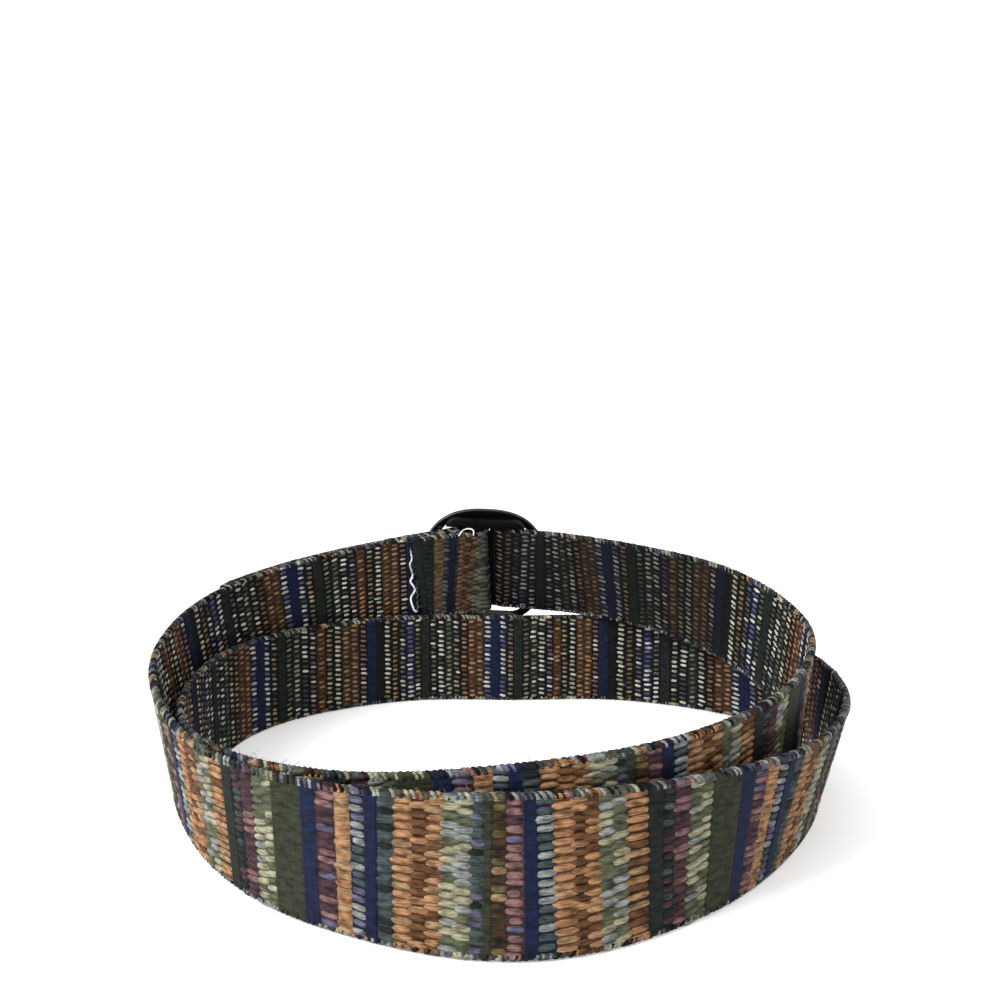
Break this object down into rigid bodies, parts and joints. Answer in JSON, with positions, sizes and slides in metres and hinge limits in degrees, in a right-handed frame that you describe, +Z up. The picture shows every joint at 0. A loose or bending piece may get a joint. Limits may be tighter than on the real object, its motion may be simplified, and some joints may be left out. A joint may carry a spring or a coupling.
{
  "type": "patterned web belt",
  "caption": "Striped woven web belt with an oval slider buckle, fastened and wound round twice, standing on its edges.",
  "frame": {"origin": "on the floor that the belt stands on, under the middle of its bounding box", "axes": "+X to the right as seen from the front, +Y to the back where the buckle is, +Z up"},
  "size_m": [0.228, 0.2096, 0.0842],
  "materials": {
    "webbing": "coarse woven polyester webbing in a repeat of navy, slate, olive, tan, cream and maroon stripes across the width",
    "buckle": "black plated zinc casting, semi-gloss, with a paler polished rim"
  },
  "bodies": {
    "root": {"webbing_strap": "webbing", "buckle_frame": "buckle"}
  },
  "joints": []
}
